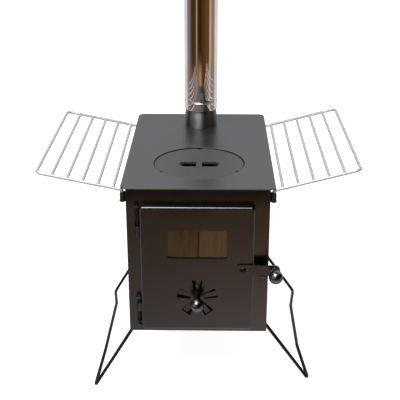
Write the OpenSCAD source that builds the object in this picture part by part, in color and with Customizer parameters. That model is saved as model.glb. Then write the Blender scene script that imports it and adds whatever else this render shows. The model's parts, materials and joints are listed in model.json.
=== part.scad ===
// Tent wood stove: folded steel firebox on two folding wire legs, with a framed door, a swinging
// latch, an air rosette, a cooking lid, two hook-on wire racks and the first length of flue pipe.
// Millimetres, +Z up, +Y to the rear. The origin is on the ground, under the middle of the whole.

/* [Body] */
// width of the firebox over its side walls
body_w = 228; // [220:1:234]
// height of the walls, from the top plate down
body_h = 256.5; // [250:0.5:275]
// length of the firebox, front sheet to rear wall
body_len = 375; // [368:1:385]
// thickness of the folded steel sheet
sheet_t = 1.5; // [1.2:0.1:1.8]
// how far the walls hang below the floor sheet
skirt_h = 8.5; // [8.5:0.5:11]
// inside corner radius of the door opening
opening_r = 8; // [3:1:14]

/* [Top plate] */
// width of the top plate
plate_w = 245; // [242:1:246]
// length of the top plate
plate_len = 392.5; // [385:0.5:420]
// thickness of the top plate and of the lid in it
plate_t = 2; // [1.6:0.1:2.6]
// corner radius of the top plate
plate_r = 12; // [4:1:20]
// how far the plate stands out in front of the front sheet
plate_nose = 5; // [3:0.5:7]

/* [Cooking lid] */
// radius of the lid
lid_r = 75.1; // [66:0.1:80]
// distance from the plate's front edge to the lid's middle
lid_y = 117.4; // [112:0.1:125]
// gap between the lid and its hole
lid_gap = 1.1; // [0.6:0.1:1.5]
// how far the lid's face lies below the plate's
lid_drop = 1.6; // [0.8:0.1:2.5]
// how far the seat ring reaches in under the lid
seat_in = 5; // [4:0.5:9]
// how far the seat ring reaches out under the plate
seat_out = 9; // [5:0.5:12]
// thickness of the seat ring
seat_t = 2; // [1.2:0.1:3]
// radius of the three notches in the lid's rim
notch_r = 3.6; // [2:0.1:4]
// length of the finger opening
lifter_w = 67; // [56:1:72]
// width of the finger opening
lifter_h = 22; // [16:1:26]
// width of the bridge left across the finger opening
bridge_w = 10; // [7:0.5:14]
// depth of the closed cup under the finger opening
cup_depth = 13; // [9:0.5:18]
// width of the cup's flange that shows inside the finger opening
cup_ledge = 2.6; // [1:0.1:4]

/* [Flue] */
// outside radius of the pipe
pipe_r = 30.6; // [29.8:0.1:32]
// wall of the pipe
pipe_t = 0.8; // [0.6:0.1:1]
// height of the pipe's lower rim above the plate
pipe_low = 33; // [30:0.5:36]
// length of the pipe
pipe_len = 300; // [250:5:420]
// length of the reduced neck at the pipe's upper end
neck_len = 16; // [12:0.5:20]
// length of the taper between the pipe and its neck
taper_len = 12; // [8:0.5:16]
// distance from the pipe's lower rim up to its rolled bead
bead_up = 16.7; // [15:0.1:19]
// how far the bead is rolled in past the neck's outside, so that the pipe rests on the neck
bead_bite = 0.5; // [0.4:0.1:0.7]
// distance from the plate's front edge to the flue's middle
flue_y = 327.8; // [318:0.1:332]
// outside radius of the collar's straight foot
collar_r = 30.2; // [29.6:0.1:31]
// height of the collar's straight foot
collar_h = 20.6; // [16:0.2:24]
// wall of the collar
collar_t = 1.2; // [1:0.1:1.5]
// outside radius of the neck that the pipe goes over
neck_r = 28.4; // [28.2:0.1:28.6]
// how far the collar reaches below the plate's top face
spigot_h = 6; // [4:0.5:9]

/* [Door] */
// width of the front sheet left showing on the hinge side
margin_hinge = 22.1; // [20:0.1:26]
// width of the front sheet left showing on the latch side
margin_latch = 23.9; // [23:0.1:28]
// height of the front sheet left showing below the door
door_rise = 11; // [9:0.5:14]
// distance from the top plate down to the door's upper edge
door_drop = 25.5; // [22:0.5:28]
// how far the door's face stands in front of the front sheet
door_proud = 14; // [13:0.5:16]
// gap between the door's rim and the front sheet
door_gap = 0.5; // [0.3:0.1:0.8]
// corner radius of the door
door_r = 6; // [5:0.5:9]
// radius of the fold round the door's face
fold_r = 3.4; // [2.4:0.1:4.4]
// diameter of the gasket rope
rope_d = 8; // [7:0.5:8.5]
// how far the front sheet reaches in past the gasket
lap_in = 2.2; // [0.8:0.1:4]

/* [Window] */
// width of the window
window_w = 94.7; // [84:0.1:98]
// height of the window
window_h = 49.5; // [42:0.5:54]
// distance from the door's upper edge down to the window
window_drop = 40; // [36:0.5:44]
// corner radius of the window
window_r = 4; // [2:0.5:8]
// thickness of the glass
glass_t = 4; // [3:0.5:4.5]
// thickness of the fibre tape between the door's face sheet and the glass
tape_t = 1.6; // [0.8:0.1:2.5]
// how far the glass reaches past the window on every side
glass_lap = 7; // [5:0.5:8]
// thickness of the frame that holds the glass
retainer_t = 1.2; // [0.8:0.1:1.5]
// diameter of the four studs
stud_d = 4; // [3:0.5:4.5]

/* [Air rosette] */
// distance from the door's lower edge up to the rosette's middle
air_rise = 58.7; // [54:0.1:62]
// radius to the outer ends of the slots
slot_out = 32.8; // [30:0.1:35]
// radius to the inner ends of the slots
slot_in = 11; // [10:0.5:13]
// width of a slot at its inner end
slot_w_in = 9.5; // [7:0.5:10]
// width of a slot at its outer end
slot_w_out = 17.6; // [12:0.1:19]
// width of a disc blade at the slots' inner end
blade_w_in = 5.4; // [4:0.1:8]
// width of a disc blade at its tip
blade_w_out = 9.4; // [6:0.1:14]
// angle by which the disc is turned from shut
disc_turn = 3; // [0:1:30]
// thickness of the turning disc
disc_t = 1.5; // [1:0.1:2]
// gap between the door's face sheet and the disc
disc_gap = 0.8; // [0.5:0.1:1.2]
// diameter of the spindle
spindle_d = 6; // [5:0.5:7]
// distance from the door's face to the middle of the air knob
air_knob_out = 22.7; // [20:0.1:25]

/* [Knobs] */
// diameter of the two ball knobs
knob_d = 22.4; // [20:0.2:24]
// diameter of the neck behind each ball
knob_neck_d = 10; // [8:0.5:12]

/* [Latch] */
// distance from the door's upper edge down to the middle of the strap
latch_drop = 107.9; // [104:0.1:112]
// height of the strap
strap_h = 18.5; // [16:0.5:20]
// thickness of the strap
strap_t = 2.5; // [2:0.1:2.8]
// distance from the door's free edge in to the pivot
pivot_in = 17.5; // [17:0.1:18.5]
// length of the strap left of the pivot
strap_tail = 9.5; // [8:0.5:12]
// length of the strap right of the pivot
strap_reach = 59.5; // [57:0.5:63]
// distance from the strap's round end in to the knob
knob_from_end = 8.5; // [8:0.5:9.5]
// distance from the pivot to the step in the strap
step_at = 24; // [22:0.5:25]
// how far the strap steps forward
step_out = 1.2; // [0.6:0.1:1.8]
// diameter of the rivet's shank
rivet_d = 5; // [4:0.5:5.5]
// diameter of the rivet's round head
rivet_head_d = 11; // [9:0.5:12]
// distance from the strap's front to the middle of the latch knob
latch_knob_out = 21.5; // [19:0.5:24]
// width of the keeper
keeper_w = 13; // [10:0.5:13.5]
// thickness of the keeper's folded plate
keeper_t = 1.5; // [1.2:0.1:2]
// clearance between the resting strap and the keeper's lip below it
lip_clear = 0.6; // [0.4:0.1:0.9]
// height of the keeper's lip above its shelf
lip_h = 2.8; // [2.8:0.1:3.6]

/* [Hinges] */
// distance from the door's edge out to the hinge pin
pin_out = 3.9; // [3.8:0.1:4.4]
// distance from the hinge pin back to the front sheet
pin_back = 8; // [8:0.1:9]
// diameter of the hinge pins
hinge_pin_d = 3.2; // [2.6:0.1:3.4]
// outside diameter of the door's knuckles
knuckle_d = 6.2; // [5.6:0.1:6.4]
// height of a knuckle
knuckle_h = 15; // [12:0.5:16]
// height of a hinge bracket
bracket_h = 53; // [46:1:56]
// thickness of a hinge bracket's plate
bracket_t = 1.8; // [1.4:0.1:2.2]
// thickness of a bracket's two ears
ear_t = 2.4; // [1.8:0.1:3]
// distance from the door's upper edge to the top of the upper bracket
upper_drop = 0.5; // [0:0.5:4]
// distance from the door's lower edge up to the bottom of the lower bracket
lower_rise = 4.5; // [2:0.5:8]

/* [Racks] */
// diameter of the rack's frame wire
wire_d = 5; // [4.9:0.1:5.4]
// diameter of the rack's cross bars
bar_d = 4.8; // [4:0.1:4.8]
// distance from the stove's middle to a rack's outer bar
rack_reach = 253.5; // [244:0.5:258]
// upward tilt of the left rack
tilt_left = 11.8; // [9:0.1:14]
// upward tilt of the right rack
tilt_right = 14.9; // [12:0.1:16]
// distance from the sockets' middle to the innermost cross bar
first_bar = 14.2; // [10:0.2:18]
// number of cross bars inside a rack's frame
bar_count = 5; // [3:1:7]
// bend radius of the tails that go down into the sockets
tail_bend = 4; // [3.4:0.1:4.6]
// distance from the sockets' mouths up to the arms' bends
arm_up = 3.2; // [2.8:0.1:3.6]
// thickness of a socket's closed bottom
socket_base = 2.7; // [2:0.1:4]
// bend radius at a rack's outer corners
rack_bend = 9; // [6:0.5:12]
// distance from the plate's front edge to the front arm of a rack
rack_front = 12; // [12:0.5:15]
// distance between the front and rear arms of a rack
rack_len = 323; // [300:1:326]
// outside diameter of a rack socket
socket_d = 10.6; // [9.6:0.2:12]
// height of a rack socket
socket_h = 16.5; // [14:0.5:20]
// distance from the plate's top face down to the sockets' mouths
socket_drop = 10.2; // [9.8:0.1:12]
// clearance round a wire in its socket
socket_clear = 0.4; // [0.35:0.05:0.6]

/* [Legs] */
// diameter of the leg rod
rod_d = 5.8; // [5:0.1:6]
// spread of the left leg from upright
spread_left = 30.6; // [28:0.1:33]
// spread of the right leg from upright
spread_right = 35.2; // [34:0.1:37]
// height of the pivots above the walls' lower edge
pivot_up = 3.9; // [3.6:0.1:4.2]
// distance from a side wall's inner face in to the pivots
pivot_from_wall = 4; // [3.8:0.1:4.4]
// height of the pivots above the middle of the foot rod
stand_h = 117.5; // [110:0.5:122]
// how much nearer to the pivot than the feet the left leg's first kink is
rise_a_left = 13.5; // [8:0.5:20]
// how much nearer to the pivot than the feet the left leg's second kink is
rise_b_left = 21.5; // [15:0.5:30]
// how much nearer to the pivot than the feet the right leg's first kink is
rise_a_right = 21; // [15:1:30]
// how much nearer to the pivot than the feet the right leg's second kink is
rise_b_right = 21; // [15:1:30]
// gap between the front sheet and the left leg's front strand
front_gap = 0.6; // [0.4:0.1:1]
// distance between the left leg's two strands
left_len = 337.5; // [330:0.5:338]
// distance from the left leg's front strand back to the right leg's
right_shift = 27; // [24:1:30]
// distance between the right leg's two strands
right_len = 318.5; // [318:0.5:320]
// distance from the left leg's front strand to its first kink
kink_a_left = 94; // [75:1:110]
// distance from the left leg's first kink to its second kink
kink_b_left = 160; // [145:1:170]
// distance from the right leg's front strand to its first kink
kink_a_right = 77; // [60:1:90]
// distance from the right leg's first kink to its second kink
kink_b_right = 147; // [135:1:160]
// bend radius of the leg rods
rod_bend = 7; // [6:0.5:9]
// thickness of the tabs that hold the legs
tab_t = 2.5; // [2:0.1:3]
// width of the tabs that hold the legs
tab_w = 12; // [10:0.5:16]

/* [Fire grate] */
// width of the fire grate
grate_w = 180; // [160:1:190]
// length of the fire grate
grate_len = 320; // [280:1:330]
// height of the grate's folded sides
grate_h = 14; // [10:0.5:20]
// thickness of the grate's sheet
grate_t = 2; // [1.5:0.1:3]
// width of the plain edge beside the grate's slots
grate_edge = 25; // [15:1:35]
// distance from the grate's ends to its first and last slots
grate_end = 15; // [12:1:25]
// width of a grate slot
grate_gap = 8; // [6:0.5:10]
// number of slots in the grate
grate_slots = 11; // [8:1:12]

/* [Hidden] */
$fn = 64;
run_c = 0.05;
fix_c = 0.02;
e = 1;
// heights, measured from the plate's top face
under = -plate_t;
seat_z = under - lid_drop;
cup_t = 1;
wall_low = under - body_h;
floor_low = wall_low + skirt_h;
pivot_z = wall_low + pivot_up;
rod_r = rod_d/2;
foot_z = pivot_z - stand_h;
ground = foot_z - rod_r;
// distances from the plate's front edge
front_y = plate_nose;
inner_y = front_y + sheet_t;
rear_y = front_y + body_len;
face_y = front_y - door_proud;
back_y = face_y + sheet_t;
glass_y = back_y + tape_t;
tape_in = 0.5;
rim_y = front_y - door_gap;
wall_x = body_w/2;
wall_in = wall_x - sheet_t;
// door
door_top = under - door_drop;
door_low = wall_low + door_rise;
door_h = door_top - door_low;
door_l = -wall_x + margin_hinge;
door_rr = wall_x - margin_latch;
door_w = door_rr - door_l;
door_mid = (door_l + door_rr)/2;
rope_r = rope_d/2;
strip_t = 1.2;
rope_in = sheet_t + 0.1 + rope_r + 0.1;
rope_y = front_y - 0.05 - rope_r;
strip_in = rope_in + rope_r + 0.1;
hole_in = strip_in + lap_in;
win_z = door_top - window_drop - window_h/2;
air_z = door_low + air_rise;
// latch
latch_z = door_top - latch_drop;
pivot_x = door_rr - pivot_in;
washer_t = 0.8;
strap_y = face_y - washer_t;
strap_f = strap_y - strap_t;
end_x = pivot_x + strap_reach;
knob_x = end_x - knob_from_end;
knob_r = knob_d/2;
lknob_y = strap_f - step_out - latch_knob_out;
aknob_y = face_y - air_knob_out;
lip_z = latch_z - strap_h/2 - lip_clear;
keeper_x = wall_x - 1.9 - keeper_w/2;
keep_back = 0.7;
keeper_f = strap_f - step_out - keep_back - keeper_t;
// hinges
pin_x = door_l - pin_out;
pin_y = front_y - pin_back;
pin_r = hinge_pin_d/2;
knuckle_r = knuckle_d/2;
up_top = door_top - upper_drop;
lo_low = door_low + lower_rise;
brk_x = pin_x - knuckle_r - 0.4;
up_knuckle = up_top - bracket_h + ear_t;
lo_knuckle = lo_low + bracket_h - ear_t - 9 - knuckle_h;
// flue
pipe_in = pipe_r - pipe_t;
bead_z = pipe_low + bead_up;
bead_half = 2.4;
bead_in = pipe_in - neck_r + bead_bite;
neck_top = bead_z - bead_half*acos(2*(pipe_in - neck_r)/bead_in - 1)/180 - 0.1;
pipe_top = pipe_low + pipe_len;
taper_h = pipe_low - collar_h;
// racks
socket_x = wall_x + socket_d/2;
socket_low = -socket_drop - socket_h;
socket_floor = socket_low + socket_base;
wire_r = wire_d/2;
arm_z = -socket_drop + arm_up;
// legs
l_y = inner_y + front_gap + rod_r;
r_y = l_y + right_shift;
tab_in = rod_bend + 1.5;
stub = tab_in + tab_t + 3;
pivot_xx = wall_in - pivot_from_wall;
// the whole
y_front = min(lknob_y, aknob_y) - knob_r;
y_mid = (y_front + plate_len)/2;

// ---- helpers
// a flat rectangle with round corners, centred
module round_rect(w, h, r) {
  square([w - 2*r, h], center = true);
  square([w, h - 2*r], center = true);
  for (sx = [-1, 1], sy = [-1, 1]) translate([sx*(w/2 - r), sy*(h/2 - r)]) circle(r);
}
// a flat shape with two half-round ends, centred
module stadium(w, h) {
  square([w - h, h], center = true);
  for (s = [-1, 1]) translate([s*(w - h)/2, 0]) circle(h/2);
}
// a flat XZ shape made t thick, its front at y
module sheet_y(y, t) { translate([0, y + t, 0]) rotate([90, 0, 0]) linear_extrude(t) children(); }
// a round bar along Y from y0 to y1
module bar_y(x, y0, y1, z, r) {
  translate([x, y1, z]) rotate([90, 0, 0]) cylinder(r = r, h = y1 - y0);
}
function way(a, b) = atan2(b[1] - a[1], b[0] - a[0]);
function wrap(a) = a > 180 ? a - 360 : (a < -180 ? a + 360 : a);
function turn_at(p, i) = wrap(way(p[i], p[i + 1]) - way(p[i - 1], p[i]));
function trim_at(p, b, i) =
  (i == 0 || i == len(p) - 1) ? 0 : b[i]*tan(abs(turn_at(p, i))/2);
// one bend of a round rod at point i of a flat path, a hair thicker so that it takes in the straights
module rod_elbow(p, b, i, r) {
  a = way(p[i - 1], p[i]);
  f = turn_at(p, i);
  s = f > 0 ? 1 : -1;
  t = trim_at(p, b, i);
  // the bend starts t before the point and turns round a centre on the inner side
  translate([p[i][0] - t*cos(a) - s*b[i]*sin(a), p[i][1] - t*sin(a) + s*b[i]*cos(a), 0])
    rotate([0, 0, s > 0 ? a - 90 : a + 90 + f]) rotate_extrude(angle = abs(f))
      translate([b[i], 0]) circle(r + 0.03);
}
// one straight of the path, reaching a little way into the bends at its ends
module rod_straight(p, b, i, r) {
  a = way(p[i], p[i + 1]);
  t0 = i == 0 ? 0 : trim_at(p, b, i) - 0.4;
  t1 = i == len(p) - 2 ? 0 : trim_at(p, b, i + 1) - 0.4;
  translate([p[i][0] + t0*cos(a), p[i][1] + t0*sin(a), 0]) rotate([0, 0, a]) rotate([0, 90, 0])
    cylinder(r = r, h = norm(p[i + 1] - p[i]) - t0 - t1);
}
// a round rod bent along a flat path; b holds the bend radius at every point
module bent_rod(p, b, r) {
  for (i = [0:len(p) - 2]) rod_straight(p, b, i, r);
  for (i = [1:len(p) - 2]) rod_elbow(p, b, i, r);
}
// the section of a folded rim: flat face, quarter fold, straight flange
module rim_section(d) {
  square([door_r - fold_r, sheet_t]);
  intersection() {
    translate([door_r - fold_r, fold_r]) difference() { circle(fold_r); circle(fold_r - sheet_t); }
    translate([door_r - fold_r, 0]) square([fold_r, fold_r]);
  }
  translate([door_r - sheet_t, fold_r]) square([sheet_t, d - fold_r]);
}
// a pan w wide and h high, its face at depth 0 and its rim at depth d, standing along +Z
module pan(w, h, d) {
  for (k = [[1, 1, 0], [-1, 1, 90], [-1, -1, 180], [1, -1, 270]])
    translate([k[0]*(w/2 - door_r), k[1]*(h/2 - door_r), 0]) rotate([0, 0, k[2]])
      rotate_extrude(angle = 90) rim_section(d);
  for (k = [[w, h, 0], [h, w, 90], [w, h, 180], [h, w, 270]]) rotate([0, 0, k[2]])
    translate([k[0]/2 - door_r, k[1]/2 - door_r, 0]) rotate([90, 0, 0])
      linear_extrude(k[1] - 2*door_r) rim_section(d);
  translate([-w/2 + door_r, -h/2 + door_r, 0]) cube([w - 2*door_r, h - 2*door_r, sheet_t]);
}
// the bead's reach at a distance v from its middle, for a bead d deep
function bead(v, d, half) = abs(v) >= half ? 0 : d*(1 + cos(180*v/half))/2;
module placed() { translate([0, -y_mid, -ground]) children(); }

// ---- body
module top_plate() color("#3a3a3c") placed() difference() {
  translate([0, plate_len/2, under]) linear_extrude(plate_t) round_rect(plate_w, plate_len, plate_r);
  translate([0, lid_y, under - e]) cylinder(r = lid_r + lid_gap, h = plate_t + 2*e);
  translate([0, flue_y, under - e]) cylinder(r = collar_r - collar_t + 0.1, h = plate_t + 2*e);
}
// the height of the stop that an open leg leans on, in a side wall's lower edge
function stop_z(a) = pivot_z - pivot_from_wall/tan(a) + rod_r/sin(a) + 0.1;
module leg_notch(side, y, a) {
  translate([side > 0 ? wall_in - e : -wall_x - e, y - rod_r - 0.5, wall_low - e])
    cube([sheet_t + 2*e, rod_d + 1, max(stop_z(a), wall_low + 0.1) - wall_low + e]);
}
module body_wrapper() color("#2c2826") placed() difference() {
  translate([-wall_x, inner_y, wall_low]) cube([body_w, rear_y - inner_y, body_h]);
  translate([-wall_in, inner_y - e, wall_low - e])
    cube([2*wall_in, rear_y - inner_y - sheet_t + e, body_h + 2*e]);
  leg_notch(-1, l_y, spread_left);
  leg_notch(-1, l_y + left_len, spread_left);
  leg_notch(1, r_y, spread_right);
  leg_notch(1, r_y + right_len, spread_right);
}
module front_panel() color("#2c2826") placed() difference() {
  translate([-wall_x, front_y, wall_low]) cube([body_w, sheet_t, body_h]);
  translate([door_mid, 0, (door_top + door_low)/2]) sheet_y(front_y - e, sheet_t + 2*e)
    round_rect(door_w - 2*hole_in, door_h - 2*hole_in, opening_r);
}
module floor_sheet() color("#2c2826") placed()
  translate([-wall_in, inner_y, floor_low]) cube([2*wall_in, rear_y - sheet_t - inner_y, sheet_t]);
module fire_grate() color("#26241f") placed()
  translate([0, front_y + body_len/2, floor_low + sheet_t]) difference() {
    translate([-grate_w/2, -grate_len/2, 0]) cube([grate_w, grate_len, grate_h]);
    translate([-grate_w/2 + grate_t, -grate_len/2 - e, -e])
      cube([grate_w - 2*grate_t, grate_len + 2*e, grate_h - grate_t + e]);
    for (i = [0:grate_slots - 1])
      translate([-grate_w/2 + grate_edge,
        (i - (grate_slots - 1)/2)*(grate_len - 2*grate_end)/(grate_slots - 1) - grate_gap/2, 0])
        cube([grate_w - 2*grate_edge, grate_gap, grate_h + e]);
  }

// ---- cooking lid
// a stepped ring: its outer flange is spot welded under the plate, its inner one carries the lid
module lid_seat_ring() color("#2a2a2b") placed() translate([0, lid_y, 0]) rotate_extrude()
  polygon([[lid_r - seat_in, seat_z - seat_t], [lid_r - seat_in, seat_z], [lid_r + lid_gap, seat_z],
    [lid_r + lid_gap, under], [lid_r + seat_out, under], [lid_r + seat_out, under - seat_t],
    [lid_r + lid_gap + seat_t, under - seat_t], [lid_r + lid_gap + seat_t, seat_z - seat_t]]);
module cooking_lid() color("#3c3c3e") placed() translate([0, lid_y, seat_z])
  linear_extrude(plate_t) difference() {
    circle(lid_r);
    for (a = [90, 212, 330]) rotate(a) translate([lid_r - notch_r/3, 0]) circle(notch_r);
    difference() {
      translate([0.6, -2.4]) stadium(lifter_w, lifter_h);
      square([bridge_w, 3*lifter_h], center = true);
    }
  }
// a pressed cup, its flange spot welded under the lid
module lid_lifter_cup() color("#1c1c1c") placed() translate([0.6, lid_y - 2.4, seat_z - cup_depth])
  difference() {
    union() {
      linear_extrude(cup_depth) stadium(lifter_w - 2*cup_ledge + 2*cup_t, lifter_h - 2*cup_ledge + 2*cup_t);
      translate([0, 0, cup_depth - cup_t]) linear_extrude(cup_t) stadium(lifter_w + 6, lifter_h + 6);
    }
    translate([0, 0, cup_t]) linear_extrude(cup_depth)
      stadium(lifter_w - 2*cup_ledge, lifter_h - 2*cup_ledge);
  }

// ---- flue
module flue_collar() color("#2a2a2b") placed() translate([0, flue_y, 0]) rotate_extrude()
  polygon([[collar_r, 0], [collar_r, collar_h], [neck_r, collar_h + taper_h], [neck_r, neck_top],
    [neck_r - collar_t, neck_top], [neck_r - collar_t, collar_h + taper_h],
    [collar_r - 2*collar_t, collar_h], [collar_r - 2*collar_t, -spigot_h],
    [collar_r - collar_t, -spigot_h], [collar_r - collar_t, 0]]);
module flue_pipe() color("#c9c4c0") placed() translate([0, flue_y, 0]) rotate_extrude()
  polygon(concat(
    [[pipe_in, pipe_low]],
    [for (i = [-8:8]) [pipe_in - bead(i*bead_half/8, bead_in, bead_half), bead_z + i*bead_half/8]],
    [[pipe_in, pipe_top - neck_len - taper_len], [neck_r - pipe_t, pipe_top - neck_len],
     [neck_r - pipe_t, pipe_top], [neck_r, pipe_top], [neck_r, pipe_top - neck_len],
     [pipe_r, pipe_top - neck_len - taper_len]],
    [for (i = [8:-1:-8]) [pipe_r - bead(i*2/8, bead_in - 0.1, 2), bead_z + i*2/8]],
    [[pipe_r, pipe_low]]));

// ---- door
module air_slot(wi, wo, ri, ro) polygon([[-wi/2, ri], [wi/2, ri], [wo/2, ro], [-wo/2, ro]]);
module door_pan() color("#2e2927") placed() difference() {
  translate([door_mid, face_y, (door_top + door_low)/2]) rotate([-90, 0, 0])
    pan(door_w, door_h, rim_y - face_y);
  translate([door_mid, 0, win_z]) sheet_y(face_y - e, sheet_t + 2*e)
    round_rect(window_w, window_h, window_r);
  translate([door_mid, 0, air_z]) sheet_y(face_y - e, sheet_t + 2*e) {
    for (i = [0:4]) rotate(72*i) air_slot(slot_w_in, slot_w_out, slot_in, slot_out);
    circle(spindle_d/2 + run_c);
  }
  translate([pivot_x, 0, latch_z]) sheet_y(face_y - e, sheet_t + 2*e) circle(rivet_d/2 + fix_c);
}
module window_glass() color([0.35, 0.28, 0.18, 0.5]) placed()
  translate([door_mid, 0, win_z]) sheet_y(glass_y, glass_t)
    round_rect(window_w + 2*glass_lap, window_h + 2*glass_lap, window_r);
module glass_tape() color("#1d1c1b") placed() translate([door_mid, 0, win_z]) sheet_y(back_y, tape_t)
  difference() {
    round_rect(window_w + 2*glass_lap, window_h + 2*glass_lap, window_r);
    round_rect(window_w + 2*tape_in, window_h + 2*tape_in, window_r);
  }
module stud_spots() for (sx = [-1, 1], sz = [-1, 1])
  translate([door_mid + sx*(window_w/2 + glass_lap + stud_d/2 + 1), 0,
    win_z + sz*window_h/3]) children();
module glass_retainer() color("#55524e") placed() difference() {
  translate([door_mid, 0, win_z]) sheet_y(glass_y + glass_t, retainer_t) difference() {
    round_rect(window_w + 2*glass_lap + 2*stud_d + 6, window_h + 2*glass_lap + 4, window_r);
    round_rect(window_w, window_h, window_r);
  }
  stud_spots() bar_y(0, glass_y + glass_t - e, glass_y + glass_t + retainer_t + e, 0, stud_d/2 + 0.2);
}
module retainer_studs() color("#8a8784") placed()
  stud_spots() bar_y(0, back_y, glass_y + glass_t + retainer_t + 4, 0, stud_d/2);
module retainer_nuts() color("#8a8784") placed() stud_spots()
  sheet_y(glass_y + glass_t + retainer_t, 3) difference() {
    circle(stud_d*0.95, $fn = 6);
    circle(stud_d/2 + fix_c);
  }
module gasket_channel() color("#4a4744") placed() translate([door_mid, 0, (door_top + door_low)/2]) {
  sheet_y(back_y, rope_y - back_y + 1) difference() {
    round_rect(door_w - 2*strip_in, door_h - 2*strip_in, 6);
    round_rect(door_w - 2*strip_in - 2*strip_t, door_h - 2*strip_in - 2*strip_t, 6 - strip_t);
  }
  sheet_y(rope_y - rope_r - strip_t, strip_t) difference() {
    round_rect(door_w - 2*sheet_t - 0.2, door_h - 2*sheet_t - 0.2, door_r);
    round_rect(door_w - 2*strip_in - e, door_h - 2*strip_in - e, 6 - e/2);
  }
}
module gasket_rope() color("#b9b2a4") placed()
  translate([door_mid, rope_y, (door_top + door_low)/2]) rotate([90, 0, 0]) {
    w = door_w/2 - rope_in;
    h = door_h/2 - rope_in;
    c = rope_r + 6;
    for (k = [[w, h, 0], [-w, h, 90], [-w, -h, 180], [w, -h, 270]])
      translate([k[0] - sign(k[0])*c, k[1] - sign(k[1])*c, 0]) rotate([0, 0, k[2]])
        rotate_extrude(angle = 90) translate([c, 0]) circle(rope_r);
    for (s = [-1, 1]) {
      translate([s*w, -h + c, 0]) rotate([-90, 0, 0]) cylinder(r = rope_r, h = 2*(h - c));
      translate([-w + c, s*h, 0]) rotate([0, 90, 0]) cylinder(r = rope_r, h = 2*(w - c));
    }
  }

// ---- hinges
module bracket(z_low) translate([0, 0, z_low]) {
  translate([brk_x - bracket_t, pin_y - 2, 0]) cube([bracket_t, front_y - pin_y + 2, bracket_h]);
  for (z = [0, bracket_h - ear_t]) translate([0, 0, z]) linear_extrude(ear_t) difference() {
    union() {
      translate([brk_x - bracket_t, pin_y - 2]) square([pin_x - brk_x + bracket_t, 5]);
      translate([pin_x, pin_y]) circle(knuckle_r);
    }
    translate([pin_x, pin_y]) circle(pin_r + fix_c);
  }
}
module hinge_bracket_upper() color("#2c2826") placed() bracket(up_top - bracket_h);
module hinge_bracket_lower() color("#2c2826") placed() bracket(lo_low);
module hinge_pins() color("#8a8784") placed() for (z = [up_top - bracket_h, lo_low])
  translate([pin_x, pin_y, z - 0.5]) cylinder(r = pin_r, h = bracket_h + 1);
module door_knuckles() color("#2e2927") placed() for (z = [up_knuckle, lo_knuckle])
  translate([0, 0, z]) linear_extrude(knuckle_h) difference() {
    union() {
      translate([pin_x, pin_y]) circle(knuckle_r);
      translate([pin_x, pin_y - 2.2]) square([door_l - pin_x, 2.2]);
    }
    translate([pin_x, pin_y]) circle(pin_r + run_c);
  }

// ---- air rosette
disc_y = back_y + disc_gap;
module air_disc() color("#2e2927") placed() translate([door_mid, 0, air_z]) sheet_y(disc_y, disc_t)
  difference() {
    union() {
      circle(slot_in + 1);
      for (i = [0:4]) rotate(72*i - disc_turn) air_slot(blade_w_in, blade_w_out, slot_in/2, slot_out - 0.5);
    }
    circle(spindle_d/2 + fix_c);
  }
module air_washer() color("#8a8784") placed() translate([door_mid, 0, air_z])
  sheet_y(back_y, disc_gap) difference() { circle(spindle_d/2 + 4); circle(spindle_d/2 + run_c); }
module air_spindle() color("#8a8784") placed()
  bar_y(door_mid, aknob_y - 2, disc_y + disc_t + 8.5, air_z, spindle_d/2);
module air_spring() color("#6f6c69") placed()
  translate([door_mid, disc_y + disc_t, air_z]) rotate([-90, 0, 0]) rotate_extrude()
    polygon([[spindle_d/2 + 4, 0], [spindle_d/2 + 4.7, 0], [spindle_d/2 + 0.9, 2.4],
      [spindle_d/2 + 0.2, 2.4]]);
module air_nut() color("#8a8784") placed() translate([door_mid, 0, air_z])
  sheet_y(disc_y + disc_t + 2.4, 4.5) difference() {
    circle(spindle_d*0.95, $fn = 6);
    circle(spindle_d/2 + fix_c);
  }
// a ball with a short neck, its back at y_back, bored for a shaft of radius r
module ball_knob(x, y, z, y_back, r) difference() {
  translate([x, 0, z]) union() {
    translate([0, y, 0]) sphere(r = knob_r);
    bar_y(0, y, y_back, 0, knob_neck_d/2);
  }
  bar_y(x, y - 2 - fix_c, y_back + e, z, r + fix_c);
}
module air_knob() color("#0e0e0f") placed()
  ball_knob(door_mid, aknob_y, air_z, face_y - 0.4, spindle_d/2);

// ---- latch
module latch_strap() color("#2a2624") placed() difference() {
  translate([pivot_x, 0, latch_z]) intersection() {
    sheet_y(strap_f - step_out - e, strap_t + step_out + 2*e) union() {
      translate([-strap_tail, 0]) translate([0, -strap_h/2 + 5]) square([strap_tail + e, strap_h - 10]);
      translate([-strap_tail + 5, -strap_h/2]) square([strap_reach + strap_tail - 5 - strap_h/2, strap_h]);
      for (s = [-1, 1]) translate([-strap_tail + 5, s*(strap_h/2 - 5)]) circle(5);
      translate([strap_reach - strap_h/2, 0]) circle(strap_h/2);
    }
    translate([0, 0, -strap_h]) linear_extrude(2*strap_h) polygon([
      [-strap_tail - e, strap_y], [step_at, strap_y], [step_at + 2.5, strap_y - step_out],
      [strap_reach + e, strap_y - step_out], [strap_reach + e, strap_f - step_out],
      [step_at + 2.5, strap_f - step_out], [step_at, strap_f], [-strap_tail - e, strap_f]]);
  }
  bar_y(pivot_x, strap_f - 4, strap_y + e, latch_z, rivet_d/2 + run_c);
  bar_y(knob_x, strap_f - 4, strap_y + e, latch_z, stud_r + fix_c);
}
stud_r = 2.5;
module latch_rivet() color("#4a4846") placed() translate([pivot_x, 0, latch_z]) {
  bar_y(0, strap_f - e, back_y + 0.8, 0, rivet_d/2);
  translate([0, strap_f, 0]) rotate([90, 0, 0]) rotate_extrude() intersection() {
    translate([0, -rivet_head_d*0.4]) circle(rivet_head_d*0.64);
    square([rivet_head_d/2, rivet_head_d]);
  }
  bar_y(0, back_y, back_y + 1.6, 0, rivet_d/2 + 1.8);
}
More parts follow.
